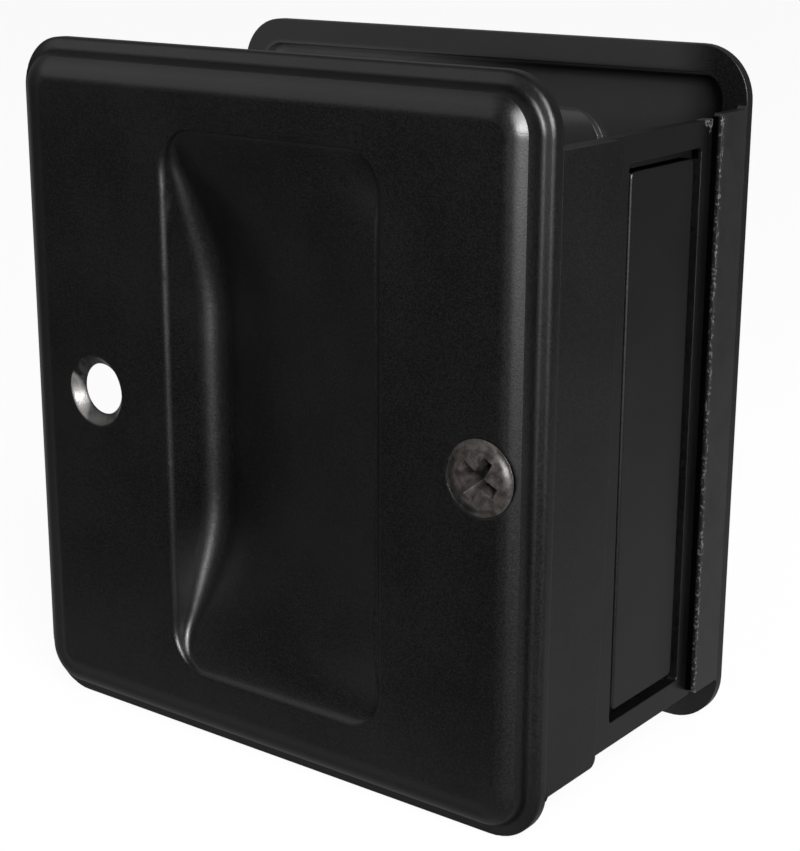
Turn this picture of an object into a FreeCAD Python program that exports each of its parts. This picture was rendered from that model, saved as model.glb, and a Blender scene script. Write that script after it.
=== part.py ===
import FreeCAD, Part
import itertools
import math
import os

import Sketcher

# A pull for a pocket door: two dished face plates that clip over the door's edge, held together by
# a clamp screw, with a window frame between them that carries a sprung flip-out edge pull.
# Origin at the middle of the gap between the plates and of their outline. X points out of the door's
# edge, Y from the front plate to the rear plate, Z up. Millimetres.

doc = FreeCAD.newDocument("PocketDoorPull")
sizes = doc.addObject("Spreadsheet::Sheet", "Sizes")

DRIVING_SIZES = {
    # door and face plates
    "plate_gap": 36.6,
    "plate_width": 72.4,
    "plate_height": 79.375,
    "plate_corner": 6.0,
    "plate_rise": 3.5,
    "sheet": 1.4,
    "lip_width": 1.5,
    "lip_round": 0.25,
    "foot_round": 0.25,
    "shoulder_round": 1.8,
    "rim_width": 3.0,
    "tray_round": 0.9,
    # finger recess
    "cup_centre": 2.09,
    "cup_width": 30.0,
    "cup_height": 62.5,
    "cup_corner": 4.5,
    "cup_depth": 7.6,
    "cup_ramp_start": 15.3,
    "cup_ramp_ease": 1.8,
    "cup_ramp_angle": 24.7,
    "cup_lean": 9.0,
    "cup_floor_round": 2.6,
    "cup_rim_round": 0.8,
    "cup_end_round": 0.6,
    "cup_least_depth": 0.12,
    "cup_edge_depth": 0.04,
    "cup_corner_depth": 0.9,
    "cup_corner_length": 9.0,
    "cup_corner_ease": 6.0,
    # screw holes
    "screw_inset": 6.52,
    "hole_inset": 11.905,
    "hole_diameter": 6.0,
    "sink_diameter": 8.3,
    # edge straps
    "strap_thickness": 1.2,
    "strap_height": 66.6,
    "strap_fillet": 0.4,
    "front_strap_top": 11.2,
    "front_strap_foot": 9.5,
    "front_strap_corner": 1.0,
    "front_strap_drop": 0.9,
    "rear_strap_depth": 5.5,
    "rear_strap_corner": 0.5,
    "rear_strap_drop": 0.25,
    "strap_clearance": 0.1,
    # window frame
    "frame_thickness": 1.2,
    "frame_overlap": 8.0,
    "frame_corner": 0.8,
    "frame_rear_lap": 1.2,
    "frame_rear_bar": 2.05,
    "window_width": 14.9,
    "frame_rail": 2.8,
    "window_corner": 0.4,
    # edge pull
    "pull_gap": 1.0,
    "pull_recess": 0.25,
    "pull_thickness": 1.4,
    "pull_corner": 0.7,
    "pull_edge_round": 0.3,
    "pivot_height": 10.0,
    "pivot_inset": 4.4,
    "knuckle_diameter": 4.8,
    "knuckle_length": 2.5,
    "lug_diameter": 6.0,
    "lug_thickness": 1.2,
    "pin_diameter": 3.0,
    "pin_clearance": 0.05,
    "pin_head_diameter": 4.6,
    "pin_head": 0.8,
    "sill_width": 13.0,
    "sill_thickness": 1.2,
    "sill_root": 2.0,
    "sill_lap": 1.0,
    "sill_clearance": 0.05,
    # return spring
    "spring_wire": 0.6,
    "spring_clearance": 0.2,
    "spring_turns": 4,
    "spring_length": 3.6,
    "spring_leg": 8.0,
    "spring_bend": 0.6,
    "spring_side_gap": 0.4,
    "spring_seat": 0.03,
    # clamp screw and posts
    "screw_diameter": 4.17,
    "screw_length": 31.75,
    "head_clearance": 0.1,
    "screw_crown": 0.6,
    "screw_tip": 0.5,
    "recess_length": 5.1,
    "recess_width": 1.25,
    "recess_depth": 2.4,
    "recess_tip": 1.9,
    "recess_tip_width": 0.8,
    "recess_turn": 60.0,
    "thread_clearance": 0.05,
    "post_diameter": 6.35,
    "post_length": 23.5,
}
sheet_rows = itertools.count(1)


def add_size(alias, content):
    row = next(sheet_rows)
    sizes.set("A%d" % row, alias)
    sizes.set("B%d" % row, content)
    sizes.setAlias("B%d" % row, alias)
    return "Sizes." + alias


def derive(alias, expression):
    """Add a size to the sheet that follows from others."""
    return add_size(alias, "=" + expression.replace("Sizes.", ""))


for size_name, number in DRIVING_SIZES.items():
    add_size(size_name, str(number))
doc.recompute()

# Derived places, as expressions on the driving sizes
HALF_GAP = "Sizes.plate_gap / 2"
HALF_WIDTH = "Sizes.plate_width / 2"
SCREW_X = f"({HALF_WIDTH} - Sizes.screw_inset)"
HOLE_X = f"(Sizes.hole_inset - {HALF_WIDTH})"
TRAY_DEPTH = "(Sizes.plate_rise - Sizes.sheet)"
STRAP_INNER_X = f"({HALF_WIDTH} - Sizes.strap_thickness)"
FRAME_INNER_X = f"({STRAP_INNER_X} - Sizes.frame_thickness)"
REAR_STRAP_Y = f"({HALF_GAP} - Sizes.rear_strap_depth)"
FRAME_REAR_Y = f"({REAR_STRAP_Y} + Sizes.frame_rear_lap)"
FRAME_FRONT_Y = f"(Sizes.front_strap_foot - {HALF_GAP} - Sizes.frame_overlap)"
WINDOW_REAR_Y = f"({REAR_STRAP_Y} - Sizes.frame_rear_bar)"
WINDOW_FRONT_Y = f"({WINDOW_REAR_Y} - Sizes.window_width)"
WINDOW_Y = f"({WINDOW_REAR_Y} - Sizes.window_width / 2)"
WINDOW_HEIGHT = "(Sizes.strap_height - 2 * Sizes.frame_rail)"
FRAME_Z = "(-Sizes.front_strap_drop)"
PULL_OUTER_X = f"({STRAP_INNER_X} - Sizes.pull_recess)"
PULL_INNER_X = f"({PULL_OUTER_X} - Sizes.pull_thickness)"
PULL_WIDTH = "(Sizes.window_width - 2 * Sizes.pull_gap)"
PIVOT_X = f"({PULL_OUTER_X} - Sizes.pivot_inset)"
PIN_BORE = "(Sizes.pin_diameter / 2 + Sizes.pin_clearance)"


def value(expression):
    return float(sizes.evalExpression(expression))


def close_to(number, target):
    return abs(number - target) < 1e-4


def new_body(label):
    body = doc.addObject("PartDesign::Body", label)
    body.Label = label
    return body


def origin_feature(body, role):
    return next(f for f in body.Origin.OriginFeatures if f.Role == role)


def sketch_on(body, name, role, offset_x="0", offset_y="0", offset_z="0"):
    sketch = body.newObject("Sketcher::SketchObject", name)
    sketch.AttachmentSupport = [(origin_feature(body, role), "")]
    sketch.MapMode = "FlatFace"
    for axis, offset in (("x", offset_x), ("y", offset_y), ("z", offset_z)):
        sketch.setExpression("AttachmentOffset.Base." + axis, offset)
    return sketch


def bind(sketch, constraint, name, expression):
    index = sketch.addConstraint(constraint)
    sketch.renameConstraint(index, name)
    sketch.setExpression("Constraints." + name, expression)


def point(x, y):
    return FreeCAD.Vector(x, y, 0)


def rounded_rectangle(sketch, width, height, corner):
    """Four lines and four corner arcs centred on the sketch's origin."""
    half_w = value(width) / 2
    half_h = value(height) / 2
    r = value(corner)
    corners = [(1, 1), (-1, 1), (-1, -1), (1, -1)]
    lines, arcs = [], []
    for turn, (sx, sy) in enumerate(corners):
        centre = point(sx * (half_w - r), sy * (half_h - r))
        circle = Part.Circle(centre, FreeCAD.Vector(0, 0, 1), r)
        start = turn * math.pi / 2
        arcs.append(sketch.addGeometry(Part.ArcOfCircle(circle, start, start + math.pi / 2)))
    ends = [
        ((half_w - r, half_h), (r - half_w, half_h)),
        ((-half_w, half_h - r), (-half_w, r - half_h)),
        ((r - half_w, -half_h), (half_w - r, -half_h)),
        ((half_w, r - half_h), (half_w, half_h - r)),
    ]
    for first, last in ends:
        lines.append(sketch.addGeometry(Part.LineSegment(point(*first), point(*last))))
    for i in range(4):
        sketch.addConstraint(Sketcher.Constraint("Tangent", arcs[i], 2, lines[i], 1))
        sketch.addConstraint(Sketcher.Constraint("Tangent", lines[i], 2, arcs[(i + 1) % 4], 1))
    for i in (0, 2):
        sketch.addConstraint(Sketcher.Constraint("Horizontal", lines[i]))
        sketch.addConstraint(Sketcher.Constraint("Vertical", lines[i + 1]))
    for i in (1, 2, 3):
        sketch.addConstraint(Sketcher.Constraint("Equal", arcs[0], arcs[i]))
    sketch.addConstraint(Sketcher.Constraint("Symmetric", arcs[0], 3, arcs[2], 3, -1, 1))
    bind(sketch, Sketcher.Constraint("Radius", arcs[0], r), "corner", corner)
    bind(sketch, Sketcher.Constraint("DistanceX", lines[1], 1, lines[3], 1, 2 * half_w), "width", width)
    bind(sketch, Sketcher.Constraint("DistanceY", lines[2], 1, lines[0], 1, 2 * half_h), "height", height)


def polyline(sketch, corners):
    """Joined lines through corners that are each held by two bound coordinates."""
    numbers = [(value(x), value(y)) for x, y in corners]
    lines = []
    for first, last in zip(numbers, numbers[1:]):
        lines.append(sketch.addGeometry(Part.LineSegment(point(*first), point(*last))))
    for before, after in zip(lines, lines[1:]):
        sketch.addConstraint(Sketcher.Constraint("Coincident", before, 2, after, 1))
    for i, (x, y) in enumerate(corners):
        line, end = (lines[i], 1) if i < len(lines) else (lines[-1], 2)
        across, up = numbers[i]
        bind(sketch, Sketcher.Constraint("DistanceX", -1, 1, line, end, across), "x%d" % i, x)
        bind(sketch, Sketcher.Constraint("DistanceY", -1, 1, line, end, up), "y%d" % i, y)
    return lines


def polygon(sketch, corners):
    """Closed outline of straight lines."""
    lines = polyline(sketch, corners)
    first = point(value(corners[0][0]), value(corners[0][1]))
    last = point(value(corners[-1][0]), value(corners[-1][1]))
    closing = sketch.addGeometry(Part.LineSegment(last, first))
    sketch.addConstraint(Sketcher.Constraint("Coincident", lines[-1], 2, closing, 1))
    sketch.addConstraint(Sketcher.Constraint("Coincident", closing, 2, lines[0], 1))


def circle(sketch, diameter):
    """A circle on the sketch's origin."""
    size = value(diameter)
    ring = sketch.addGeometry(Part.Circle(point(0, 0), FreeCAD.Vector(0, 0, 1), size / 2))
    sketch.addConstraint(Sketcher.Constraint("Coincident", ring, 3, -1, 1))
    bind(sketch, Sketcher.Constraint("Diameter", ring, size), "diameter", diameter)


def lug_outline(sketch, reach, diameter, bore):
    """A lug that ends in a half circle round the sketch's origin, reaching to X = reach, with a pin bore."""
    far = value(reach)
    r = value(diameter) / 2
    hole = value(bore) / 2
    round_end = Part.ArcOfCircle(
        Part.Circle(point(0, 0), FreeCAD.Vector(0, 0, 1), r), math.pi / 2, 3 * math.pi / 2
    )
    arc = sketch.addGeometry(round_end)
    low = sketch.addGeometry(Part.LineSegment(point(0, -r), point(far, -r)))
    root = sketch.addGeometry(Part.LineSegment(point(far, -r), point(far, r)))
    top = sketch.addGeometry(Part.LineSegment(point(far, r), point(0, r)))
    ring = sketch.addGeometry(Part.Circle(point(0, 0), FreeCAD.Vector(0, 0, 1), hole))
    sketch.addConstraint(Sketcher.Constraint("Coincident", arc, 3, -1, 1))
    sketch.addConstraint(Sketcher.Constraint("Tangent", arc, 2, low, 1))
    sketch.addConstraint(Sketcher.Constraint("Coincident", low, 2, root, 1))
    sketch.addConstraint(Sketcher.Constraint("Coincident", root, 2, top, 1))
    sketch.addConstraint(Sketcher.Constraint("Tangent", top, 2, arc, 1))
    sketch.addConstraint(Sketcher.Constraint("Horizontal", low))
    sketch.addConstraint(Sketcher.Constraint("Horizontal", top))
    sketch.addConstraint(Sketcher.Constraint("Vertical", root))
    sketch.addConstraint(Sketcher.Constraint("Coincident", ring, 3, -1, 1))
    bind(sketch, Sketcher.Constraint("Radius", arc, r), "outer", f"{diameter} / 2")
    bind(sketch, Sketcher.Constraint("DistanceX", -1, 1, root, 1, far), "reach", reach)
    bind(sketch, Sketcher.Constraint("Diameter", ring, 2 * hole), "bore", bore)


def pad(body, sketch, name, length, reverse=False):
    feature = body.newObject("PartDesign::Pad", name)
    feature.Profile = sketch
    feature.Reversed = reverse
    feature.setExpression("Length", length)
    doc.recompute()
    return feature


def pocket(body, sketch, name, length, reverse=False):
    before = body.Shape.Volume
    feature = body.newObject("PartDesign::Pocket", name)
    feature.Profile = sketch
    feature.Reversed = reverse
    feature.setExpression("Length", length)
    doc.recompute()
    if body.Shape.Volume > before - 1e-6:
        raise RuntimeError(name + " cuts nothing")
    return feature


def loft(body, kind, name, sketches):
    feature = body.newObject("PartDesign::" + kind, name)
    feature.Profile = sketches[0]
    feature.Sections = sketches[1:]
    doc.recompute()
    return feature


def fillet(body, name, radius, wanted):
    """Round every edge of the body that the test picks."""
    base = body.Tip
    names = ["Edge%d" % (i + 1) for i, edge in enumerate(base.Shape.Edges) if wanted(edge)]
    feature = body.newObject("PartDesign::Fillet", name)
    feature.Base = (base, names)
    feature.setExpression("Radius", radius)
    doc.recompute()
    return feature


def at_height(edge, z):
    box = edge.BoundBox
    return close_to(box.ZMin, z) and close_to(box.ZMax, z)


def middle_of(edge):
    return edge.valueAt((edge.FirstParameter + edge.LastParameter) / 2)


def place(item, x="0", y="0", z="0", axis=FreeCAD.Vector(0, 0, 1), angle=0):
    item.Placement = FreeCAD.Placement(FreeCAD.Vector(), FreeCAD.Rotation(axis, angle))
    for name, expression in (("x", x), ("y", y), ("z", z)):
        item.setExpression("Placement.Base." + name, expression)


# Face plates, drawn lying on their backs with the face at the top.
# The recess is lofted along the plate through cross-sections: a rounded rim, a steep left wall that
# rolls into the floor, and a floor that ramps up to the right edge. The floor is deepest along the
# middle and eases up to both ends in ramps. The right corners stay a little below the face.

CUP_STATIONS = (0.0, 0.25, 0.42, 0.56, 0.68, 0.79, 0.88, 0.94, 0.98, 1.0)  # shares of the half height
RIM_SHARE = 0.35  # most of the depth that the rim's round may take where the recess is shallow
ROLL_SHARE = 0.45  # the same for the roll between wall and floor
MOUTH_HEIGHT = 0.5  # the cut reaches this far above the face
RIM_LIFT = 0.015  # the rim's round starts this far above the face, so that it meets it in a clean line
CUP_LEFT = "(Sizes.cup_centre - Sizes.cup_width / 2)"
CUP_RIGHT = "(Sizes.cup_centre + Sizes.cup_width / 2)"
CUP_HALF = "(Sizes.cup_height / 2)"
CORNER_START = f"({CUP_HALF} - Sizes.cup_corner_length)"


def cup_section(index, station):
    """Sizes of one cross-section, at a share of the half height from the middle."""

    def add(name, expression):
        return derive("cup%d_%s" % (index, name), expression)

    along = add("along", f"{station} * {CUP_HALF}")
    turn = f"max(0; {along} - {CUP_HALF} + Sizes.cup_corner)"
    inset = add("inset", f"Sizes.cup_corner - sqrt(Sizes.cup_corner ^ 2 - ({turn}) ^ 2)")
    run = add("run", f"log(1 + exp(({along} - Sizes.cup_ramp_start) / Sizes.cup_ramp_ease))")
    scoop = add("scoop", f"Sizes.cup_depth - {run} * Sizes.cup_ramp_ease * tan(Sizes.cup_ramp_angle)")
    near_end = f"max(0; 1 - ({CUP_HALF} - {along}) / Sizes.cup_end_round)"
    ending = add("ending", f"sqrt(1 - ({near_end}) ^ 2)")
    ease = add("ease", f"min(1; max(0; ({along} - {CORNER_START}) / Sizes.cup_corner_ease))")
    drop = f"(Sizes.cup_corner_depth - Sizes.cup_edge_depth) * {ease} ^ 2 * (3 - 2 * {ease})"
    edge = f"min(Sizes.cup_edge_depth + {drop}; {scoop})"
    depth = add("depth", f"max(Sizes.cup_least_depth; {scoop} * {ending})")
    return {
        "along": along,
        "left": add("left", f"{CUP_LEFT} + {inset}"),
        "right": add("right", f"{CUP_RIGHT} - {inset}"),
        "depth": depth,
        "edge": add("edge", f"max(Sizes.cup_edge_depth; {edge} * {ending})"),
        "rim": add("rim", f"min(Sizes.cup_rim_round; {RIM_SHARE} * {depth})"),
        "roll": add("roll", f"min(Sizes.cup_floor_round; {ROLL_SHARE} * {depth})"),
    }


cup_sections = {station: cup_section(i, station) for i, station in enumerate(CUP_STATIONS)}
doc.recompute()


def section_outline(sketch, section, face, shift):
    """Cross-section below a face level, shifted left: rim, wall, roll, floor, right edge and mouth."""
    left = f"({section['left']} - {shift})"
    right, depth, edge, rim, roll = (section[key] for key in ("right", "depth", "edge", "rim", "roll"))
    lean = "Sizes.cup_lean"
    slope = f"atan(({depth} - {edge}) / ({right} - {left}))"
    foot = f"({depth} / (1 + tan({lean}) * tan({slope})))"
    foot_x = f"({left} + {foot} * tan({lean}))"
    reach = f"({roll} / tan((90 deg + {lean} * 1 deg - {slope}) / 2))"
    rim_drop = f"({rim} - {RIM_LIFT} - {rim} * sin({lean}))"
    rim_x = f"({left} + {rim_drop} * tan({lean}) - {rim} * cos({lean}))"
    corners = {
        "rim_top": (rim_x, f"{face} + {RIM_LIFT}"),
        "mouth_left": (rim_x, f"{face} + {MOUTH_HEIGHT}"),
        "mouth_right": (right, f"{face} + {MOUTH_HEIGHT}"),
        "edge": (right, f"{face} - {edge}"),
        "floor": (f"{foot_x} + {reach} * cos({slope})", f"{face} - {foot} + {reach} * sin({slope})"),
        "wall_foot": (f"{foot_x} - {reach} * sin({lean})", f"{face} - {foot} + {reach} * cos({lean})"),
        "wall_top": (f"{left} + {rim_drop} * tan({lean})", f"{face} - {rim_drop}"),
    }
    spots = {name: point(value(x), value(y)) for name, (x, y) in corners.items()}

    def line(first, last):
        return sketch.addGeometry(Part.LineSegment(spots[first], spots[last]))

    def arc(centre, radius, start, end):
        ring = Part.Circle(centre, FreeCAD.Vector(0, 0, 1), radius)
        return sketch.addGeometry(Part.ArcOfCircle(ring, math.radians(start), math.radians(end)))

    lean_angle = value(lean)
    slope_angle = value(slope)
    facing = point(math.cos(math.radians(lean_angle)), math.sin(math.radians(lean_angle)))
    lip = line("rim_top", "mouth_left")
    mouth = line("mouth_left", "mouth_right")
    side = line("mouth_right", "edge")
    floor = line("edge", "floor")
    roll_centre = spots["wall_foot"] + facing * value(roll)
    roll_arc = arc(roll_centre, value(roll), 180 + lean_angle, 270 + slope_angle)
    wall = line("wall_foot", "wall_top")
    rim_centre = spots["wall_top"] - facing * value(rim)
    rim_arc = arc(rim_centre, value(rim), lean_angle, 90)
    joints = [
        (lip, 2, mouth, 1),
        (mouth, 2, side, 1),
        (side, 2, floor, 1),
        (floor, 2, roll_arc, 2),
        (roll_arc, 1, wall, 1),
        (wall, 2, rim_arc, 1),
        (rim_arc, 2, lip, 1),
    ]
    for joint in joints:
        sketch.addConstraint(Sketcher.Constraint("Coincident", *joint))
    held = {
        "rim_top": (lip, 1),
        "mouth_left": (lip, 2),
        "mouth_right": (mouth, 2),
        "edge": (side, 2),
        "floor": (floor, 2),
        "wall_foot": (wall, 1),
        "wall_top": (wall, 2),
    }
    for name, (piece, end) in held.items():
        x, y = corners[name]
        spot = spots[name]
        bind(sketch, Sketcher.Constraint("DistanceX", -1, 1, piece, end, spot.x), name + "_x", x)
        bind(sketch, Sketcher.Constraint("DistanceY", -1, 1, piece, end, spot.y), name + "_y", y)
    bind(sketch, Sketcher.Constraint("Radius", roll_arc, value(roll)), "roll", roll)
    bind(sketch, Sketcher.Constraint("Radius", rim_arc, value(rim)), "rim", rim)


def cup_sketches(body, name, stations, face, shift):
    """Cross-sections from one end of the recess to the other."""
    ends = [("", station) for station in reversed(stations[1:])]
    ends += [("-", station) for station in stations]
    sketches = []
    for i, (sign, station) in enumerate(ends):
        section = cup_sections[station]
        sketch = sketch_on(body, "%s%d" % (name, i), "XZ_Plane", offset_z=sign + section["along"])
        section_outline(sketch, section, face, shift)
        sketches.append(sketch)
    return sketches


def face_plate(label):
    body = new_body(label)
    lip = sketch_on(body, label + "_lip", "XY_Plane")
    rounded_rectangle(lip, "Sizes.plate_width", "Sizes.plate_height", "Sizes.plate_corner")
    pad(body, lip, label + "_lip_pad", "Sizes.sheet")
    panel = sketch_on(body, label + "_panel", "XY_Plane")
    inset = "2 * Sizes.lip_width"
    rounded_rectangle(
        panel,
        f"(Sizes.plate_width - {inset})",
        f"(Sizes.plate_height - {inset})",
        "(Sizes.plate_corner - Sizes.lip_width)",
    )
    pad(body, panel, label + "_panel_pad", "Sizes.plate_rise")
    face = "Sizes.plate_rise"
    rise = value(face)
    lip_top = value("Sizes.sheet")
    fillet(body, label + "_shoulder", "Sizes.shoulder_round", lambda edge: at_height(edge, rise))

    def lip_inset(edge):
        middle = middle_of(edge)
        past_x = max(abs(middle.x) - value("Sizes.plate_width / 2 - Sizes.plate_corner"), 0)
        past_y = max(abs(middle.y) - value("Sizes.plate_height / 2 - Sizes.plate_corner"), 0)
        return value("Sizes.plate_corner") - math.hypot(past_x, past_y)

    def on_lip_edge(edge):
        return at_height(edge, lip_top) and close_to(lip_inset(edge), 0)

    def on_foot(edge):
        return at_height(edge, lip_top) and close_to(lip_inset(edge), value("Sizes.lip_width"))

    fillet(body, label + "_lip_edge", "Sizes.lip_round", on_lip_edge)
    fillet(body, label + "_foot", "Sizes.foot_round", on_foot)
    tray = sketch_on(body, label + "_tray", "XY_Plane")
    rim = "2 * Sizes.rim_width"
    rounded_rectangle(
        tray,
        f"(Sizes.plate_width - {rim})",
        f"(Sizes.plate_height - {rim})",
        "(Sizes.plate_corner - Sizes.rim_width)",
    )
    pocket(body, tray, label + "_tray_pocket", TRAY_DEPTH, reverse=True)
    tray_top = value(TRAY_DEPTH)
    fillet(body, label + "_tray_cove", "Sizes.tray_round", lambda edge: at_height(edge, tray_top))
    back = f"({face} - Sizes.sheet)"
    shell = cup_sketches(body, label + "_shell", CUP_STATIONS, back, "Sizes.sheet")
    loft(body, "AdditiveLoft", label + "_cup_shell", shell)
    cup = cup_sketches(body, label + "_cup", CUP_STATIONS, face, "0")
    loft(body, "SubtractiveLoft", label + "_cup", cup)
    return body


def screw_hole(body, name, x):
    """A through hole with a countersink in the face."""
    hole = sketch_on(body, name + "_hole", "XY_Plane", offset_x=x, offset_z="Sizes.plate_rise")
    circle(hole, "Sizes.hole_diameter")
    pocket(body, hole, name + "_bore", "Sizes.plate_rise")
    sink = "(Sizes.sink_diameter - Sizes.hole_diameter) / 2"
    top = value("Sizes.plate_rise")
    bore = math.pi * value("Sizes.hole_diameter")
    base = body.Tip
    names = []
    for i, edge in enumerate(base.Shape.Edges):
        centre_x = edge.BoundBox.Center.x
        if at_height(edge, top) and close_to(centre_x, value(x)) and abs(edge.Length - bore) < 0.01:
            names.append("Edge%d" % (i + 1))
    chamfer = body.newObject("PartDesign::Chamfer", name + "_sink")
    chamfer.Base = (base, names)
    chamfer.setExpression("Size", sink)
    doc.recompute()


front_plate = face_plate("front_plate")
screw_hole(front_plate, "left", HOLE_X)
screw_hole(front_plate, "right", SCREW_X)
place(front_plate, y=f"-{HALF_GAP}", axis=FreeCAD.Vector(1, 0, 0), angle=90)

rear_plate = face_plate("rear_plate")
place(rear_plate, y=HALF_GAP, axis=FreeCAD.Vector(1, 0, 0), angle=-90)


# Edge straps: strips that stand on the plates' rims, flush with their outer edge, with braze at the ends


def edge_strap(label, top, foot, thickness, corner):
    """A strip whose free edge stands at two depths, one at its top and one at its foot."""
    body = new_body(label)
    half = "Sizes.strap_height / 2"
    braze = "Sizes.strap_fillet"
    outline = sketch_on(body, label + "_outline", "YZ_Plane")
    corners = [
        ("0", f"-{half} - {braze}"),
        (braze, f"-{half}"),
        (foot, f"-{half}"),
        (top, half),
        (braze, half),
        ("0", f"{half} + {braze}"),
    ]
    polygon(outline, corners)
    pad(body, outline, label + "_pad", thickness)
    free_ends = (value(top), value(foot))

    def free_corner(edge):
        box = edge.BoundBox
        along_x = close_to(box.YLength, 0) and close_to(box.ZLength, 0)
        return along_x and any(close_to(box.YMin, end) for end in free_ends)

    fillet(body, label + "_corners", corner, free_corner)
    return body


front_strap = edge_strap(
    "front_strap",
    "Sizes.front_strap_top",
    "Sizes.front_strap_foot",
    "Sizes.strap_thickness",
    "Sizes.front_strap_corner",
)
place(front_strap, STRAP_INNER_X, f"-{HALF_GAP}", FRAME_Z)
rear_strap = edge_strap(
    "rear_strap",
    "Sizes.rear_strap_depth",
    "Sizes.rear_strap_depth",
    "(Sizes.strap_thickness - Sizes.strap_clearance)",
    "Sizes.rear_strap_corner",
)
place(
    rear_strap,
    f"({STRAP_INNER_X} + Sizes.strap_clearance)",
    HALF_GAP,
    "-Sizes.rear_strap_drop",
    FreeCAD.Vector(1, 0, 0),
    180,
)

# Window frame: a thin plate under both straps, joined to the front one, with a window, two lugs that
# hold the pin and a sill that the flap rests on

edge_frame = new_body("edge_frame")
frame_outline = sketch_on(
    edge_frame, "frame_outline", "YZ_Plane", offset_x=f"({FRAME_FRONT_Y} + {FRAME_REAR_Y}) / 2"
)
rounded_rectangle(
    frame_outline, f"({FRAME_REAR_Y} - {FRAME_FRONT_Y})", "Sizes.strap_height", "Sizes.frame_corner"
)
pad(edge_frame, frame_outline, "frame_pad", "Sizes.frame_thickness")
window = sketch_on(edge_frame, "window", "YZ_Plane", offset_x=WINDOW_Y)
rounded_rectangle(window, "Sizes.window_width", WINDOW_HEIGHT, "Sizes.window_corner")
pocket(edge_frame, window, "window_pocket", "Sizes.frame_thickness", reverse=True)
LUG_REACH = f"({FRAME_INNER_X} - {PIVOT_X})"
for side, lug_face in (("front", f"-{WINDOW_FRONT_Y}"), ("rear", f"-{WINDOW_REAR_Y} - Sizes.lug_thickness")):
    lug = sketch_on(
        edge_frame,
        side + "_lug",
        "XZ_Plane",
        offset_x=f"-{LUG_REACH}",
        offset_y="Sizes.pivot_height",
        offset_z=lug_face,
    )
    lug_outline(lug, LUG_REACH, "Sizes.lug_diameter", "Sizes.pin_diameter")
    pad(edge_frame, lug, side + "_lug_pad", "Sizes.lug_thickness")
SILL_FACE = f"({PULL_INNER_X} - {FRAME_INNER_X} - Sizes.sill_clearance)"
SILL_BACK = f"({SILL_FACE} - Sizes.sill_thickness)"
SILL_LEVEL = f"(-{WINDOW_HEIGHT} / 2)"
SILL_TOP = f"({SILL_LEVEL} + Sizes.pull_gap + Sizes.sill_lap)"
SILL_LOW = f"({SILL_LEVEL} - Sizes.sill_root)"
sill = sketch_on(edge_frame, "sill", "XZ_Plane", offset_z=f"-{WINDOW_Y} - Sizes.sill_width / 2")
polygon(
    sill,
    [
        (SILL_BACK, SILL_LOW),
        ("0", SILL_LOW),
        ("0", SILL_LEVEL),
        (SILL_FACE, SILL_LEVEL),
        (SILL_FACE, SILL_TOP),
        (SILL_BACK, SILL_TOP),
    ],
)
pad(edge_frame, sill, "sill_pad", "Sizes.sill_width")
place(edge_frame, FRAME_INNER_X, z=FRAME_Z)

# Edge pull: a flat flap with a knuckle behind it, cut away in the middle for the spring

edge_pull = new_body("edge_pull")
flap = sketch_on(edge_pull, "flap", "YZ_Plane", offset_x=WINDOW_Y)
rounded_rectangle(flap, PULL_WIDTH, f"({WINDOW_HEIGHT} - 2 * Sizes.pull_gap)", "Sizes.pull_corner")
pad(edge_pull, flap, "flap_pad", "Sizes.pull_thickness")
flap_front = value("Sizes.pull_thickness")


def outer_flap_edge(edge):
    box = edge.BoundBox
    return close_to(box.XMin, flap_front) and close_to(box.XMax, flap_front)


fillet(edge_pull, "flap_edges", "Sizes.pull_edge_round", outer_flap_edge)
KNUCKLE_REACH = f"({PULL_INNER_X} - {PIVOT_X})"
SPRING_ROOM = "(Sizes.spring_length + 2 * Sizes.spring_side_gap)"
FRONT_KNUCKLE_Y = f"({WINDOW_FRONT_Y} + {SPRING_ROOM} + Sizes.knuckle_length)"
REAR_KNUCKLE_Y = f"({WINDOW_Y} + {PULL_WIDTH} / 2)"
for side, knuckle_y in (("front", FRONT_KNUCKLE_Y), ("rear", REAR_KNUCKLE_Y)):
    knuckle = sketch_on(
        edge_pull,
        side + "_knuckle",
        "XZ_Plane",
        offset_x=f"-{KNUCKLE_REACH}",
        offset_y="Sizes.pivot_height",
        offset_z=f"-{knuckle_y}",
    )
    root = f"({KNUCKLE_REACH} + Sizes.pull_thickness / 2)"
    lug_outline(knuckle, root, "Sizes.knuckle_diameter", f"2 * {PIN_BORE}")
    pad(edge_pull, knuckle, side + "_knuckle_pad", "Sizes.knuckle_length")

place(edge_pull, PULL_INNER_X, z=FRAME_Z)

# Pin: a headed rivet through both lugs

PIN_Z = f"({FRAME_Z} + Sizes.pivot_height)"
LUG_FRONT_Y = f"({WINDOW_FRONT_Y} - Sizes.lug_thickness)"
LUG_REAR_Y = f"({WINDOW_REAR_Y} + Sizes.lug_thickness)"
pin_shank = doc.addObject("Part::Cylinder", "pin_shank")
pin_shank.setExpression("Radius", "Sizes.pin_diameter / 2")
pin_shank.setExpression("Height", f"{LUG_REAR_Y} - {LUG_FRONT_Y}")
pin_heads = []
for side, bottom in (("front", "-Sizes.pin_head"), ("rear", f"{LUG_REAR_Y} - {LUG_FRONT_Y}")):
    head = doc.addObject("Part::Cylinder", side + "_pin_head")
    head.setExpression("Radius", "Sizes.pin_head_diameter / 2")
    head.setExpression("Height", "Sizes.pin_head")
    place(head, z=bottom)
    pin_heads.append(head)
pull_pin = doc.addObject("Part::MultiFuse", "pull_pin")
pull_pin.Label = "pull_pin"
pull_pin.Shapes = [pin_shank] + pin_heads
place(pull_pin, PIVOT_X, LUG_FRONT_Y, PIN_Z, FreeCAD.Vector(1, 0, 0), -90)
doc.recompute()

# Torsion spring: a coil on the pin beside the front lug. One leg lies up the flap's back, the other
# hooks under the lug. Drawn with the coil's axis up and the legs along Y, then tilted on to the flap.

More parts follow.
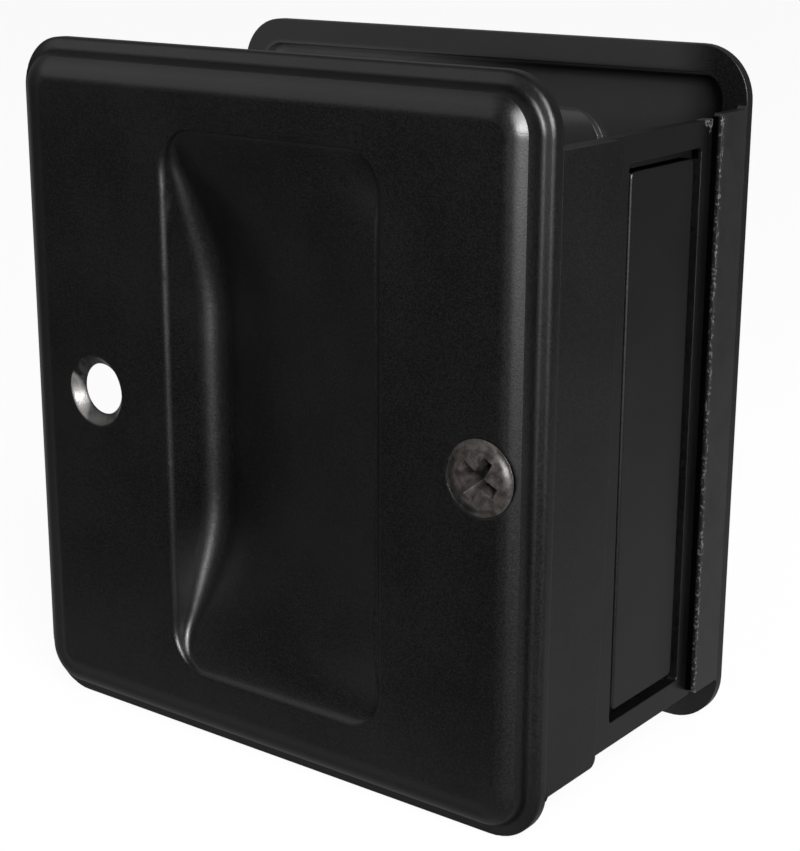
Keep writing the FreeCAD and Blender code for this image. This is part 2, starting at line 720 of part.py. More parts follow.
SPRING_RADIUS = "(Sizes.pin_diameter / 2 + Sizes.spring_clearance + Sizes.spring_wire / 2)"
SPRING_SEAT = "(Sizes.spring_wire / 2 + Sizes.spring_seat)"
SPRING_TILT = (
    f"(asin(({KNUCKLE_REACH} - {SPRING_SEAT}) / sqrt({SPRING_RADIUS} ^ 2 + Sizes.spring_leg ^ 2))"
    f" - atan({SPRING_RADIUS} / Sizes.spring_leg))"
)


def torsion_spring():
    wire = value("Sizes.spring_wire")
    radius = value(SPRING_RADIUS)
    rise = value("Sizes.spring_length") - wire
    leg = value("Sizes.spring_leg")
    bend = value("Sizes.spring_bend")
    tilt = math.radians(value(SPRING_TILT))
    seat = value(f"Sizes.lug_diameter / 2 + {SPRING_SEAT}")
    drop = (seat - radius * math.sin(tilt)) / math.cos(tilt)
    reach = value("Sizes.spring_side_gap + Sizes.lug_thickness + Sizes.spring_wire")
    coil = Part.makeLongHelix(rise / value("Sizes.spring_turns"), rise, radius, 0, True)
    leg_tip = FreeCAD.Vector(radius, leg, 0)
    leg_foot = FreeCAD.Vector(radius, 0, 0)
    coil_end = FreeCAD.Vector(radius, 0, rise)
    bend_start = FreeCAD.Vector(radius, bend - drop, rise)
    bend_end = FreeCAD.Vector(radius, -drop, rise + bend)
    slack = bend * (1 - math.sqrt(0.5))
    bend_middle = FreeCAD.Vector(radius, slack - drop, rise + slack)
    hook_tip = FreeCAD.Vector(radius, -drop, rise + reach)
    path = Part.Wire(
        [Part.LineSegment(leg_tip, leg_foot).toShape()]
        + coil.Edges
        + [
            Part.LineSegment(coil_end, bend_start).toShape(),
            Part.Arc(bend_start, bend_middle, bend_end).toShape(),
            Part.LineSegment(bend_end, hook_tip).toShape(),
        ]
    )
    section = Part.Circle(leg_tip, FreeCAD.Vector(0, 1, 0), wire / 2)
    return path.makePipeShell([Part.Wire(section.toShape())], True, True)


pull_spring = doc.addObject("Part::Feature", "pull_spring")
pull_spring.Label = "pull_spring"
pull_spring.Shape = torsion_spring()
stand = FreeCAD.Rotation(FreeCAD.Vector(1, 0, 0), 90)
lean = FreeCAD.Rotation(FreeCAD.Vector(0, 0, 1), -value(SPRING_TILT))
coil_y = value(f"{WINDOW_FRONT_Y} + Sizes.spring_side_gap + Sizes.spring_length - Sizes.spring_wire / 2")
coil_foot = FreeCAD.Vector(value(PIVOT_X), coil_y, value(PIN_Z))
pull_spring.Placement = FreeCAD.Placement(coil_foot, stand.multiply(lean))

# Clamp screw: crowned countersunk head with a cross recess, drawn with its axis up and the face at Z = 0

clamp_screw = new_body("clamp_screw")
HEAD_R = "(Sizes.sink_diameter / 2 - Sizes.head_clearance)"
SHANK_R = "(Sizes.screw_diameter / 2)"
HEAD_CONE = f"({HEAD_R} - {SHANK_R})"
CROWN_R = f"(({HEAD_R} ^ 2 + Sizes.screw_crown ^ 2) / (2 * Sizes.screw_crown))"


def screw_section(sketch):
    """Half section: head cone, shank, chamfered tip, axis and a crown arc that closes the outline."""
    corners = [
        (HEAD_R, "0"),
        (SHANK_R, f"-{HEAD_CONE}"),
        (SHANK_R, "Sizes.screw_tip - Sizes.screw_length"),
        (f"{SHANK_R} - Sizes.screw_tip", "-Sizes.screw_length"),
        ("0", "-Sizes.screw_length"),
        ("0", "Sizes.screw_crown"),
    ]
    lines = polyline(sketch, corners)
    radius = value(CROWN_R)
    centre = point(0, value("Sizes.screw_crown") - radius)
    crown = Part.Circle(centre, FreeCAD.Vector(0, 0, 1), radius)
    start = math.acos(value(HEAD_R) / radius)
    arc = sketch.addGeometry(Part.ArcOfCircle(crown, start, math.pi / 2))
    sketch.addConstraint(Sketcher.Constraint("Coincident", arc, 1, lines[0], 1))
    sketch.addConstraint(Sketcher.Constraint("Coincident", arc, 2, lines[-1], 2))
    bind(sketch, Sketcher.Constraint("Radius", arc, radius), "crown", CROWN_R)


def cross(sketch, length, width):
    """A plus sign on the sketch's origin."""
    far = f"{length} / 2"
    near = f"{width} / 2"
    quarter = [(far, near), (near, near), (near, far)]
    corners = list(quarter)
    for _ in range(3):
        quarter = [(turned(y), x) for x, y in quarter]
        corners += quarter
    polygon(sketch, corners)


def turned(expression):
    """The expression with its sign changed."""
    return expression[1:] if expression.startswith("-") else "-" + expression


profile = sketch_on(clamp_screw, "screw_profile", "XZ_Plane")
screw_section(profile)
screw_turned = clamp_screw.newObject("PartDesign::Revolution", "screw_turned")
screw_turned.Profile = profile
screw_turned.ReferenceAxis = (origin_feature(clamp_screw, "Z_Axis"), [""])
screw_turned.Angle = 360
doc.recompute()
recess_mouth = sketch_on(clamp_screw, "recess_mouth", "XY_Plane", offset_z="Sizes.screw_crown")
cross(recess_mouth, "Sizes.recess_length", "Sizes.recess_width")
recess_floor = sketch_on(
    clamp_screw, "recess_floor", "XY_Plane", offset_z="Sizes.screw_crown - Sizes.recess_depth"
)
cross(recess_floor, "Sizes.recess_tip", "Sizes.recess_tip_width")
for outline in (recess_mouth, recess_floor):
    outline.setExpression("AttachmentOffset.Rotation.Angle", "Sizes.recess_turn")
loft(clamp_screw, "SubtractiveLoft", "cross_recess", [recess_mouth, recess_floor])
place(
    clamp_screw,
    SCREW_X,
    f"-{HALF_GAP} - Sizes.plate_rise",
    axis=FreeCAD.Vector(1, 0, 0),
    angle=90,
)

# Posts: threaded barrels that stand on the rear plate's tray


def screw_post(label, x):
    barrel = doc.addObject("Part::Cylinder", label + "_barrel")
    barrel.setExpression("Radius", "Sizes.post_diameter / 2")
    barrel.setExpression("Height", "Sizes.post_length")
    bore = doc.addObject("Part::Cylinder", label + "_bore")
    bore.setExpression("Radius", f"{SHANK_R} + Sizes.thread_clearance")
    bore.setExpression("Height", "Sizes.post_length")
    post = doc.addObject("Part::Cut", label)
    post.Label = label
    post.Base = barrel
    post.Tool = bore
    place(post, x, f"{HALF_GAP} + {TRAY_DEPTH}", axis=FreeCAD.Vector(1, 0, 0), angle=90)
    return post


left_post = screw_post("left_post", HOLE_X)
right_post = screw_post("right_post", SCREW_X)
doc.recompute()

PARTS = [
    front_plate,
    front_strap,
    edge_frame,
    edge_pull,
    pull_pin,
    pull_spring,
    clamp_screw,
    rear_plate,
    rear_strap,
    left_post,
    right_post,
]
for item in doc.Objects:
    if "Invalid" in item.State or "Error" in item.State:
        raise RuntimeError(item.Label + " failed to build")
for item in PARTS:
    if item.Shape.isNull() or not item.Shape.isValid():
        raise RuntimeError(item.Label + " has no valid shape")

os.makedirs("parts", exist_ok=True)
for item in PARTS:
    item.Shape.exportStep("parts/%s.step" % item.Label)
    print(item.Label, len(item.Shape.Solids), round(item.Shape.Volume, 1))
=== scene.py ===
import math

import bpy
from mathutils import Matrix, Vector


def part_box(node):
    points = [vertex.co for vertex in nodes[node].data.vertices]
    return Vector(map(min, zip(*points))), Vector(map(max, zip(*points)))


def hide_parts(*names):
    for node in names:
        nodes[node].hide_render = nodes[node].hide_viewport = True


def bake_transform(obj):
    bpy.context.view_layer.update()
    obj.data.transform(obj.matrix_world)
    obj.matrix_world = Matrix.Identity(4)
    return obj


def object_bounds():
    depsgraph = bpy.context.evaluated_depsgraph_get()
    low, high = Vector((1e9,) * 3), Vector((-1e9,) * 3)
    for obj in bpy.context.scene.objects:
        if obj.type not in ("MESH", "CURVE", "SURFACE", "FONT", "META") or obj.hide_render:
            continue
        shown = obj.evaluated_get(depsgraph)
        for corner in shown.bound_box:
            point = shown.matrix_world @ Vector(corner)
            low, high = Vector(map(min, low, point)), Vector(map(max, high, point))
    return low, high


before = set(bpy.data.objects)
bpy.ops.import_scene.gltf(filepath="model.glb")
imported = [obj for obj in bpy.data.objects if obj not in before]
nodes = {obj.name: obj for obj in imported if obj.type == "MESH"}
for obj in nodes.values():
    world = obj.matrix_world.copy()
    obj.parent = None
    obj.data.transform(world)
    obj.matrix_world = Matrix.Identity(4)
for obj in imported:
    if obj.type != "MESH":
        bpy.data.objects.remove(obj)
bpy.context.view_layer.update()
mm = 0.001
noiseMiddle = 0.5
print("frame loaded:", len(nodes), "nodes")


# A shader socket that takes part in Python sums
class Wire:
    def __init__(self, graph, socket):
        self.graph = graph
        self.socket = socket

    def maths(self, operation, *inputs):
        return self.graph.node("ShaderNodeMath", {"operation": operation}, dict(enumerate(inputs)))

    def __add__(self, other):
        return self.maths("ADD", self, other)

    def __radd__(self, other):
        return self.maths("ADD", other, self)

    def __sub__(self, other):
        return self.maths("SUBTRACT", self, other)

    def __rsub__(self, other):
        return self.maths("SUBTRACT", other, self)

    def __mul__(self, other):
        return self.maths("MULTIPLY", self, other)

    def __rmul__(self, other):
        return self.maths("MULTIPLY", other, self)

    def __truediv__(self, other):
        return self.maths("DIVIDE", self, other)

    def __rtruediv__(self, other):
        return self.maths("DIVIDE", other, self)

    def __pow__(self, other):
        return self.maths("POWER", self, other)

    def __rpow__(self, other):
        return self.maths("POWER", other, self)

    def __abs__(self):
        return self.maths("ABSOLUTE", self)

    def least(self, other):
        return self.maths("MINIMUM", self, other)

    def most(self, other):
        return self.maths("MAXIMUM", self, other)

    def sine(self):
        return self.maths("SINE", self)

    def angleOver(self, across):    # the angle whose tangent is self / across
        return self.maths("ARCTAN2", self, across)

    def between(self, low, high):    # 0 at low, 1 at high, eased
        return self.graph.node(
            "ShaderNodeMapRange",
            {"interpolation_type": "SMOOTHSTEP"},
            {"Value": self, "From Min": low, "From Max": high},
            "Result",
        )


class Graph:
    edgeSamples = 6

    def __init__(self, tree):
        self.tree = tree
        tree.nodes.clear()

    # Any node: its type, its settings, then the values or links of its sockets
    def node(self, kind, settings=None, sockets=None, output=0):
        made = self.tree.nodes.new(kind)
        for name, setting in (settings or {}).items():
            setattr(made, name, setting)
        for name, given in (sockets or {}).items():
            if isinstance(given, Wire):
                self.tree.links.new(given.socket, made.inputs[name])
            else:
                made.inputs[name].default_value = given
        return Wire(self, made.outputs[output]) if len(made.outputs) else made

    def coordinates(self):
        return self.node("ShaderNodeTexCoord", output="Object")

    def axis(self, name):
        return self.node("ShaderNodeSeparateXYZ", {}, {"Vector": self.coordinates()}, name)

    def noise(self, scale, detail=2.0, roughness=0.5):
        sockets = {"Scale": scale, "Detail": detail, "Roughness": roughness}
        sockets["Vector"] = self.coordinates()
        return self.node("ShaderNodeTexNoise", {}, sockets, "Fac")

    def mixColour(self, factor, first, second):
        colours = [given if isinstance(given, Wire) else (*given, 1.0) for given in (first, second)]
        sockets = {0: factor, 6: colours[0], 7: colours[1]}    # the RGBA sockets of the Mix node
        return self.node("ShaderNodeMix", {"data_type": "RGBA"}, sockets, 2)

    def bump(self, height, strength, distance, normal):
        sockets = {"Height": height, "Strength": strength, "Distance": distance, "Normal": normal}
        return self.node("ShaderNodeBump", {}, sockets)

    def relief(self, height, normal):    # a height in metres, shaded as if it were modelled
        return self.bump(height, 1.0, 1.0, normal)

    def softEdge(self, radius):
        return self.node("ShaderNodeBevel", {"samples": self.edgeSamples}, {"Radius": radius})

    # How far a point lies from a screw's axis, which runs along Y
    def fromAxis(self, x, z):
        across = self.axis("X") - x
        up = self.axis("Z") - z
        return (across * across + up * up) ** 0.5

    # How far a point lies inside the plates' outline, a rectangle with round corners
    def fromOutline(self, width, height, corner):
        across = abs(self.axis("X")) - (width / 2 - corner)
        up = abs(self.axis("Z")) - (height / 2 - corner)
        past = (across.most(0) ** 2 + up.most(0) ** 2) ** 0.5
        return corner - past - across.most(up).least(0)

    def principled(self, sockets):
        return self.node("ShaderNodeBsdfPrincipled", {}, sockets)

    def finish(self, shader):
        self.node("ShaderNodeOutputMaterial", {}, {"Surface": shader})


def newMaterial(name):
    material = bpy.data.materials.new(name)
    material.use_nodes = True
    return material, Graph(material.node_tree)


def dress(name, material):
    slots = nodes[name].data.materials
    slots.clear()
    slots.append(material)


# Satin black paint with a fine powder grain
satinBlack = {
    "colour": (0.0006, 0.0006, 0.0007),
    "colourThin": (0.0030, 0.0030, 0.0031),
    # a lighter tone for the rear plate's tray, also painted light in its left cove and painted
    # reflection on the rear strap
    "colourLightened": (0.050, 0.050, 0.053),
    "bareAndHighlightColour": (0.30, 0.29, 0.28),
    "roughness": 0.32,
    "roughnessCloud": 0.06,
    "roughnessGrain": 0.12,
    "bareAndHighlightRoughness": 0.26,
    "cloudScale": 90.0,
    "cloudShare": 0.5,
    "thinRange": (0.3, 0.7),
    "grainScale": 4600.0,
    "grainHeight": 0.016 * mm,
    "grainStrength": 0.5,
    "specular": 0.5,
    "edgeRound": 0.18 * mm,
    # painted shade: the matt black mixed in where a gap lies in shade
    "paintedShadeBlack": (0.0004, 0.0004, 0.0004),
}


# The masks find bare steel and a painted highlight, a lighter tone and painted light, painted
# shade, and the height of a pressed form
def makeSatinBlack(
    name, findBareAndHighlight=None, findLighter=None, findPaintedShade=None, findHeight=None,
    edgeRound=satinBlack["edgeRound"],
):
    material, graph = newMaterial(name)
    cloud = graph.noise(satinBlack["cloudScale"], detail=3.0)
    grain = graph.noise(satinBlack["grainScale"])
    cloudy = cloud - noiseMiddle
    thin = (grain + cloudy * satinBlack["cloudShare"]).between(*satinBlack["thinRange"])
    colour = graph.mixColour(thin, satinBlack["colour"], satinBlack["colourThin"])
    roughness = satinBlack["roughness"] + cloudy * satinBlack["roughnessCloud"]
    roughness = roughness + (grain - noiseMiddle) * satinBlack["roughnessGrain"]
    metallic = 0.0
    if findLighter:
        colour = graph.mixColour(findLighter(graph), colour, satinBlack["colourLightened"])
    if findBareAndHighlight:
        metallic = findBareAndHighlight(graph)
        colour = graph.mixColour(metallic, colour, satinBlack["bareAndHighlightColour"])
        roughness = roughness + metallic * (satinBlack["bareAndHighlightRoughness"] - satinBlack["roughness"])
    normal = graph.softEdge(edgeRound)
    if findHeight:
        normal = graph.relief(findHeight(graph), normal)
    shader = graph.principled({
        "Base Color": colour,
        "Roughness": roughness,
        "Metallic": metallic,
        "Specular IOR Level": satinBlack["specular"],
        "Normal": graph.bump(grain, satinBlack["grainStrength"], satinBlack["grainHeight"], normal),
    })
    # painted shade: a matt black mixed in where the mask finds shade
    if findPaintedShade:
        paintedShadeBlack = graph.node("ShaderNodeBsdfDiffuse", {}, {"Color": (*satinBlack["paintedShadeBlack"], 1.0)})
        shader = graph.node("ShaderNodeMixShader", {}, {0: findPaintedShade(graph), 1: shader, 2: paintedShadeBlack})
    graph.finish(shader)
    return material


# The plates' outline, and how far in the pressed shoulder still bends
plateEdge = {
    "width": 72.4 * mm,
    "height": 79.375 * mm,
    "corner": 6.0 * mm,
    "lip": 2.0 * mm,
    "lipSlope": 0.5,
    "shoulder": 4.8 * mm,
    "drop": 0.9 * mm,
    "round": 0.6 * mm,
}


def fromPlateEdge(graph):
    return graph.fromOutline(plateEdge["width"], plateEdge["height"], plateEdge["corner"])


def softShoulder(graph):
    inward = fromPlateEdge(graph)
    shoulder = inward.between(plateEdge["lip"], plateEdge["shoulder"]) * plateEdge["drop"]
    return shoulder + inward.least(plateEdge["lip"]) * plateEdge["lipSlope"]


# A fine groove pressed along the recess's right edge
recessEdge = {
    "across": 16.7 * mm,
    "width": 0.55 * mm,
    "depth": 0.2 * mm,
    "reach": 28.0 * mm,
    "fade": 4.0 * mm,
}


def pressedGroove(graph):
    away = abs(graph.axis("X") - recessEdge["across"])
    fadeStart = recessEdge["reach"] - recessEdge["fade"]
    along = abs(graph.axis("Z")).between(recessEdge["reach"], fadeStart)
    return away.between(recessEdge["width"], 0.0) * along * recessEdge["depth"]


def frontRelief(graph):
    return softShoulder(graph) - pressedGroove(graph)


# The empty countersink: a speckle of bare steel, a metal patch at its left as a painted highlight,
# and a little metal below as painted light
sinkHighlight = {
    "x": -24.295 * mm,
    "z": 0.0,
    "radius": 4.0 * mm,
    "feather": 0.2 * mm,
    "leftLean": 0.94,
    "downLean": 0.34,
    "sideStart": 2.7 * mm,
    "sideFull": 3.4 * mm,
    "belowStart": 1.0 * mm,
    "belowFull": 3.5 * mm,
    "patchScale": 900.0,
    "patchRange": (0.42, 0.58),
    "patchBare": 0.03,
    "belowLight": 0.06,
    "highlightBare": 0.5,
    "highlightPatchBare": 0.3,
}


def sinkSteelHighlight(graph):
    away = graph.fromAxis(sinkHighlight["x"], sinkHighlight["z"])
    inside = away.between(sinkHighlight["radius"] + sinkHighlight["feather"], sinkHighlight["radius"])
    patches = graph.noise(sinkHighlight["patchScale"], detail=3.0).between(*sinkHighlight["patchRange"])
    left = sinkHighlight["x"] - graph.axis("X")
    down = sinkHighlight["z"] - graph.axis("Z")
    toSide = left * sinkHighlight["leftLean"] + down * sinkHighlight["downLean"]
    # painted highlight: metal at the countersink's left, where the lamp's highlight falls
    highlightSide = toSide.between(sinkHighlight["sideStart"], sinkHighlight["sideFull"])
    # painted light: a little metal low in the countersink, where it catches more light
    lighterBelow = down.between(sinkHighlight["belowStart"], sinkHighlight["belowFull"])
    painted = patches * sinkHighlight["patchBare"] + lighterBelow * sinkHighlight["belowLight"]
    return inside * (painted + highlightSide * (sinkHighlight["highlightBare"] + patches * sinkHighlight["highlightPatchBare"]))


# A lighter tone inside the rear plate's tray, none in the cove round the tray or at the right;
# where the cove runs out at the left it is painted light, lightening the cove's shade
rearLightening = {
    "level": 20.6 * mm,
    "blur": 0.3 * mm,
    "cove": 3.7 * mm,
    "coveWidth": 1.3 * mm,
    "coveLeft": -18.0 * mm,
    "coveFull": 8.0 * mm,
    "rightStart": 26.0 * mm,
    "rightFull": 33.0 * mm,
    "trayShare": 0.27,
}


def lighterTrayAndPaintedCove(graph):
    across = graph.axis("X")
    below = graph.axis("Y").between(rearLightening["level"] + rearLightening["blur"], rearLightening["level"])
    fromCove = abs(fromPlateEdge(graph) - rearLightening["cove"])
    cove = fromCove.between(rearLightening["coveWidth"], 0.0)
    # painted light: the cove at the left is lightened where it lies in shade
    paintedCoveLight = cove * across.between(rearLightening["coveFull"], rearLightening["coveLeft"])
    right = across.between(rearLightening["rightStart"], rearLightening["rightFull"])
    return below * (1 - right) * ((1 - cove) * rearLightening["trayShare"] + paintedCoveLight)


# The rear strap: specks where paint chipped off its cut edge, painted shade on the cut face,
# and a blotchy lighter tone all over as painted reflection
strapWear = {
    "edge": 12.8 * mm,
    "side": 36.2 * mm,
    "width": 0.6 * mm,
    "shadeBlur": 0.15 * mm,
    "speckScale": 3000.0,
    "speckRoughness": 0.6,
    "speckRange": (0.55, 0.66),
    "sheenScale": 300.0,
    "sheenLeast": 0.04,
    "sheenMost": 0.20,
}


def cutEdge(graph):
    fromEdge = graph.axis("Y") - strapWear["edge"]
    fromSide = strapWear["side"] - graph.axis("X")
    near = (fromEdge + fromSide).between(strapWear["width"], 0.0)
    specks = graph.noise(strapWear["speckScale"], roughness=strapWear["speckRoughness"])
    return near * specks.between(*strapWear["speckRange"])


# painted shade: matt black on the rear strap's cut face, darkening the gap beside the frame
def paintedCutFaceShade(graph):
    fromEdge = graph.axis("Y") - strapWear["edge"]
    inside = graph.axis("X").between(strapWear["side"], strapWear["side"] - strapWear["width"])
    return fromEdge.between(strapWear["shadeBlur"], 0.0) * inside


# painted reflection: blotches of lighter colour over the rear strap, standing in for the floor it
# mirrors
def paintedStrapSheen(graph):
    sheen = graph.noise(strapWear["sheenScale"], detail=3.0)
    return strapWear["sheenLeast"] + sheen * (strapWear["sheenMost"] - strapWear["sheenLeast"])


# Painted shade: matt black in the slit above the flap, where the gap lies in shade
slit = {
    "top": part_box("edge_pull")[1][2],
    "face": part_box("edge_frame")[1][0],
    "below": 0.3 * mm,
    "above": 3.2 * mm,
    "inset": 0.3 * mm,
    "blur": 0.15 * mm,
}


def paintedSlitShade(graph):
    up = graph.axis("Z") - slit["top"]
    low = up.between(-slit["below"], slit["blur"] - slit["below"])
    high = up.between(slit["above"] + slit["blur"], slit["above"])
    mouth = slit["face"] - slit["inset"]
    return low * high * graph.axis("X").between(mouth, mouth - slit["blur"])


# Bright specks of braze at the frame's rear top corner
braze = {
    "rear": 12.3 * mm,
    "top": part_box("edge_frame")[1][2],
    "radius": 1.6 * mm,
    "spread": (1.0, 0.4),
    "speckScale": 1800.0,
    "speckRange": (0.45, 0.6),
}


def brazeSpots(graph):
    away = abs(graph.axis("Y") - braze["rear"]) + abs(graph.axis("Z") - braze["top"])
    near = (away / braze["radius"]).between(*braze["spread"])
    return near * graph.noise(braze["speckScale"]).between(*braze["speckRange"])


dress("front_plate", makeSatinBlack(
    "satinBlackFront", findBareAndHighlight=sinkSteelHighlight, findHeight=frontRelief, edgeRound=plateEdge["round"],
))
dress("rear_plate", makeSatinBlack("satinBlackRear", findLighter=lighterTrayAndPaintedCove))
dress("rear_strap", makeSatinBlack(
    "satinBlackRearStrap", findBareAndHighlight=cutEdge, findLighter=paintedStrapSheen, findPaintedShade=paintedCutFaceShade,
))
dress("front_strap", makeSatinBlack("satinBlack"))
dress("edge_frame", makeSatinBlack("satinBlackFrame", findBareAndHighlight=brazeSpots, findPaintedShade=paintedSlitShade))
dress("edge_pull", makeSatinBlack("satinBlackFlap", findPaintedShade=paintedSlitShade))
print("painted pieces done")


# Plain turned steel for what the paint doesn't reach, and drawn wire for the spring
plainSteel = {
    "colour": (0.34, 0.33, 0.31),
    "colourDull": (0.22, 0.215, 0.205),
    "roughness": 0.38,
    "roughnessGrain": 0.2,
    "grainScale": 900.0,
    "linePitch": 0.12 * mm,
    "lineHeight": 0.006 * mm,
    "lineStrength": 0.3,
    "edgeRound": 0.15 * mm,
}
springSteel = {
    "colour": (0.24, 0.24, 0.25),
    "colourDull": (0.15, 0.15, 0.15),
    "roughness": 0.30,
    "roughnessGrain": 0.15,
    "grainScale": 1600.0,
    "linePitch": 0.05 * mm,
    "lineHeight": 0.003 * mm,
    "lineStrength": 0.3,
    "edgeRound": 0.05 * mm,
}


def makeSteel(name, look):
    material, graph = newMaterial(name)
    grain = graph.noise(look["grainScale"], detail=3.0)
    lines = (graph.axis("Y") * (2 * math.pi / look["linePitch"])).sine()
    edge = graph.softEdge(look["edgeRound"])
    graph.finish(graph.principled({
        "Base Color": graph.mixColour(grain, look["colour"], look["colourDull"]),
        "Roughness": look["roughness"] + (grain - noiseMiddle) * look["roughnessGrain"],
        "Metallic": 1.0,
        "Normal": graph.bump(lines, look["lineStrength"], look["lineHeight"], edge),
    }))
    return material


turnedSteel = makeSteel("plainSteel", plainSteel)
for bare in ("pull_pin", "left_post", "right_post"):
    dress(bare, turnedSteel)
dress("pull_spring", makeSteel("springSteel", springSteel))


def makeReturnSpring():
    spring = bpy.data.objects.new("return_spring", nodes["pull_spring"].data.copy())
    bpy.context.scene.collection.objects.link(spring)
    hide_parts("pull_spring")
    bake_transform(spring)


makeReturnSpring()
print("spring done")


# Blackened screw, a little lighter and browner than the plates, its head rounded towards the rim
blackenedSteel = {
    "colour": (0.016, 0.014, 0.013),
    "colourWorn": (0.050, 0.042, 0.039),
    "roughness": 0.36,
    "roughnessPatch": 0.15,
    "metallic": 0.3,
    "patchScale": 900.0,
    "patchRoughness": 0.7,
    "patchRange": (0.35, 0.7),
    "grainScale": 3000.0,
    "grainHeight": 0.02 * mm,
    "grainStrength": 0.5,
    "x": 29.68 * mm,
    "z": 0.0,
    "flatRadius": 2.9 * mm,
    "rimRadius": 4.05 * mm,
    "rimDrop": 0.4 * mm,
    "edgeRound": 0.12 * mm,
    "threadStart": -18.0 * mm,
    "threadBlur": 0.6 * mm,
    "threadPitch": 0.794 * mm,
    "threadHeight": 0.16 * mm,
}


def screwThread(graph):
    along = graph.axis("Y")
    up = graph.axis("Z") - blackenedSteel["z"]
    angle = up.angleOver(graph.axis("X") - blackenedSteel["x"])
    wave = (along * (2 * math.pi / blackenedSteel["threadPitch"]) + angle).sine()
    start = blackenedSteel["threadStart"]
    shank = along.between(start, start + blackenedSteel["threadBlur"])
    return wave * shank * blackenedSteel["threadHeight"]


def headRim(graph):
    away = graph.fromAxis(blackenedSteel["x"], blackenedSteel["z"])
    flat = away.between(blackenedSteel["rimRadius"], blackenedSteel["flatRadius"])
    return flat * blackenedSteel["rimDrop"]


def makeBlackenedSteel():
    look = blackenedSteel
    material, graph = newMaterial("blackenedSteel")
    patches = graph.noise(look["patchScale"], detail=4.0, roughness=look["patchRoughness"])
    patches = patches.between(*look["patchRange"])
    grain = graph.noise(look["grainScale"])
    height = headRim(graph) + screwThread(graph)
    rounded = graph.relief(height, graph.softEdge(look["edgeRound"]))
    graph.finish(graph.principled({
        "Base Color": graph.mixColour(patches, look["colour"], look["colourWorn"]),
        "Roughness": look["roughness"] + (patches - noiseMiddle) * look["roughnessPatch"],
        "Metallic": look["metallic"],
        "Normal": graph.bump(grain, look["grainStrength"], look["grainHeight"], rounded),
    }))
    return material


dress("clamp_screw", makeBlackenedSteel())
print("materials done")


# Camera at the photograph's angle
camera = {
    "azimuth": 37.3145,
    "elevation": 16.0763,
    "roll": 0.209,
    "place": (0.13121, -0.16802, 0.05665),
    "lens": 80.0,
    "sensor": 36.0,
    "clipStart": 0.01,
}


def makeCamera():
    data = bpy.data.cameras.new("camera")
    data.lens = camera["lens"]
    data.sensor_width = camera["sensor"]
    data.clip_start = camera["clipStart"]
    made = bpy.data.objects.new("camera", data)
    bpy.context.scene.collection.objects.link(made)
    turn = Matrix.Rotation(math.radians(camera["azimuth"]), 4, "Z")
    tip = Matrix.Rotation(math.radians(90 - camera["elevation"]), 4, "X")
    roll = Matrix.Rotation(math.radians(camera["roll"]), 4, "Z")
    made.matrix_world = Matrix.Translation(camera["place"]) @ turn @ tip @ roll
    bpy.context.scene.camera = made


# Lamps: place by azimuth, elevation and distance from the object's centre, then size and power
lamps = {
    "top": {"azimuth": 52.0, "elevation": 34.0, "distance": 0.6, "size": 0.3, "power": 4.5},
    "low": {"azimuth": 50.0, "elevation": 13.0, "distance": 0.9, "size": 0.25, "power": 9.0},
    "left": {"azimuth": -52.0, "elevation": 40.0, "distance": 0.8, "size": 0.6, "power": 0.7},
}


def makeLamps():
    for name, lamp in lamps.items():
        data = bpy.data.lights.new(name, "AREA")
        data.size = lamp["size"]
        data.energy = lamp["power"]
        made = bpy.data.objects.new(name, data)
        bpy.context.scene.collection.objects.link(made)
        turn = math.radians(lamp["azimuth"])
        rise = math.radians(lamp["elevation"])
        level = math.cos(rise)
        back = Vector((math.sin(turn) * level, -math.cos(turn) * level, math.sin(rise)))
        made.location = back * lamp["distance"]
        made.rotation_euler = back.to_track_quat("Z", "Y").to_euler()


# Pale floor under the plates and a white surround. What the part mirrors of them is dimmer,
# by where it lies, with a full white glow at the right: a painted reflection; each reach gives
# where a tone starts and where it is full, in metres
stage = {
    "floorSize": 3.0,
    "floorColour": (0.8, 0.8, 0.8),
    "floorPatch": (0.82, 0.82, 0.82),
    "patchScale": 6.0,
    "white": (1.0, 1.0, 1.0, 1.0),
    "whiteShare": 0.93,
    "surround": 0.3,
    "mirroredLeft": (0.09, 0.09, 0.09),
    "mirroredFoot": (0.20, 0.20, 0.20),
    "mirroredRight": (1.0, 1.0, 1.0),
    "mirroredNear": (0.30, 0.30, 0.30),
    "mirroredFar": (0.14, 0.14, 0.14),
    "mirroredWorld": 0.145,
    "footReach": (-0.055, -0.03),
    "rightReach": (0.08, 0.28),
    "rearReach": (-0.03, 0.0),
    "farReach": (0.05, 0.45),
}


def rays(graph):
    names = ("Is Camera Ray", "Is Transmission Ray", "Is Glossy Ray")
    return [graph.node("ShaderNodeLightPath", output=name) for name in names]


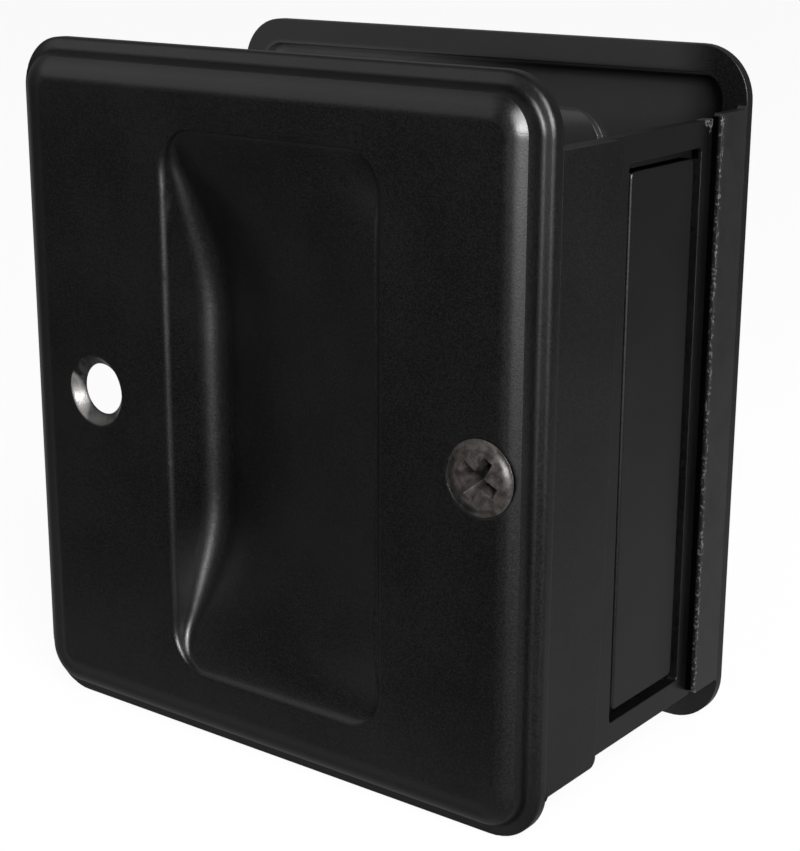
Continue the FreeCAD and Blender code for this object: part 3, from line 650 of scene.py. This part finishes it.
# painted reflection: the floor's glow as seen in the part, brighter at the right and by its foot
def mirroredFloor(graph):
    across = graph.axis("X")
    deep = graph.axis("Y")
    foot = deep.between(*stage["footReach"])
    right = across.between(*stage["rightReach"])
    far = (across + deep).between(*stage["farReach"])
    front = graph.mixColour(foot, stage["mirroredLeft"], stage["mirroredFoot"])
    front = graph.mixColour(right, front, stage["mirroredRight"])
    rear = graph.mixColour(far, stage["mirroredNear"], stage["mirroredFar"])
    return graph.mixColour(deep.between(*stage["rearReach"]), front, rear)


# White where the camera looks or sees through, with a share of the matt floor that takes the shadow
def makeFloorMaterial():
    material, graph = newMaterial("paleFloor")
    toCamera, through, glossy = rays(graph)
    patches = graph.noise(stage["patchScale"])
    colour = graph.mixColour(patches, stage["floorColour"], stage["floorPatch"])
    matt = graph.node("ShaderNodeBsdfDiffuse", {}, {"Color": colour})
    white = graph.node("ShaderNodeEmission", {}, {"Color": stage["white"]})
    share = toCamera.most(through) * stage["whiteShare"]
    seen = graph.node("ShaderNodeMixShader", {}, {0: share, 1: matt, 2: white})
    mirrored = graph.node("ShaderNodeEmission", {}, {"Color": mirroredFloor(graph)})
    graph.finish(graph.node("ShaderNodeMixShader", {}, {0: glossy, 1: seen, 2: mirrored}))
    return material


def makeFloor():
    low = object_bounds()[0][2]
    half = stage["floorSize"] / 2
    corners = [(-half, -half, low), (half, -half, low), (half, half, low), (-half, half, low)]
    mesh = bpy.data.meshes.new("floor")
    mesh.from_pydata(corners, [], [(0, 1, 2, 3)])
    mesh.materials.append(makeFloorMaterial())
    floor = bpy.data.objects.new("floor", mesh)
    bpy.context.scene.collection.objects.link(floor)


def makeSurround():
    world = bpy.data.worlds.new("surround")
    bpy.context.scene.world = world
    world.use_nodes = True
    graph = Graph(world.node_tree)
    toCamera, through, glossy = rays(graph)
    seen = toCamera.most(through)
    dim = glossy * stage["mirroredWorld"] + (1 - glossy) * stage["surround"]
    sockets = {"Color": stage["white"], "Strength": seen + (1 - seen) * dim}
    light = graph.node("ShaderNodeBackground", {}, sockets)
    graph.node("ShaderNodeOutputWorld", {}, {"Surface": light})


makeCamera()
makeLamps()
makeFloor()
makeSurround()
bpy.context.scene.view_settings.view_transform = "Standard"
print("camera, lamps and stage done")
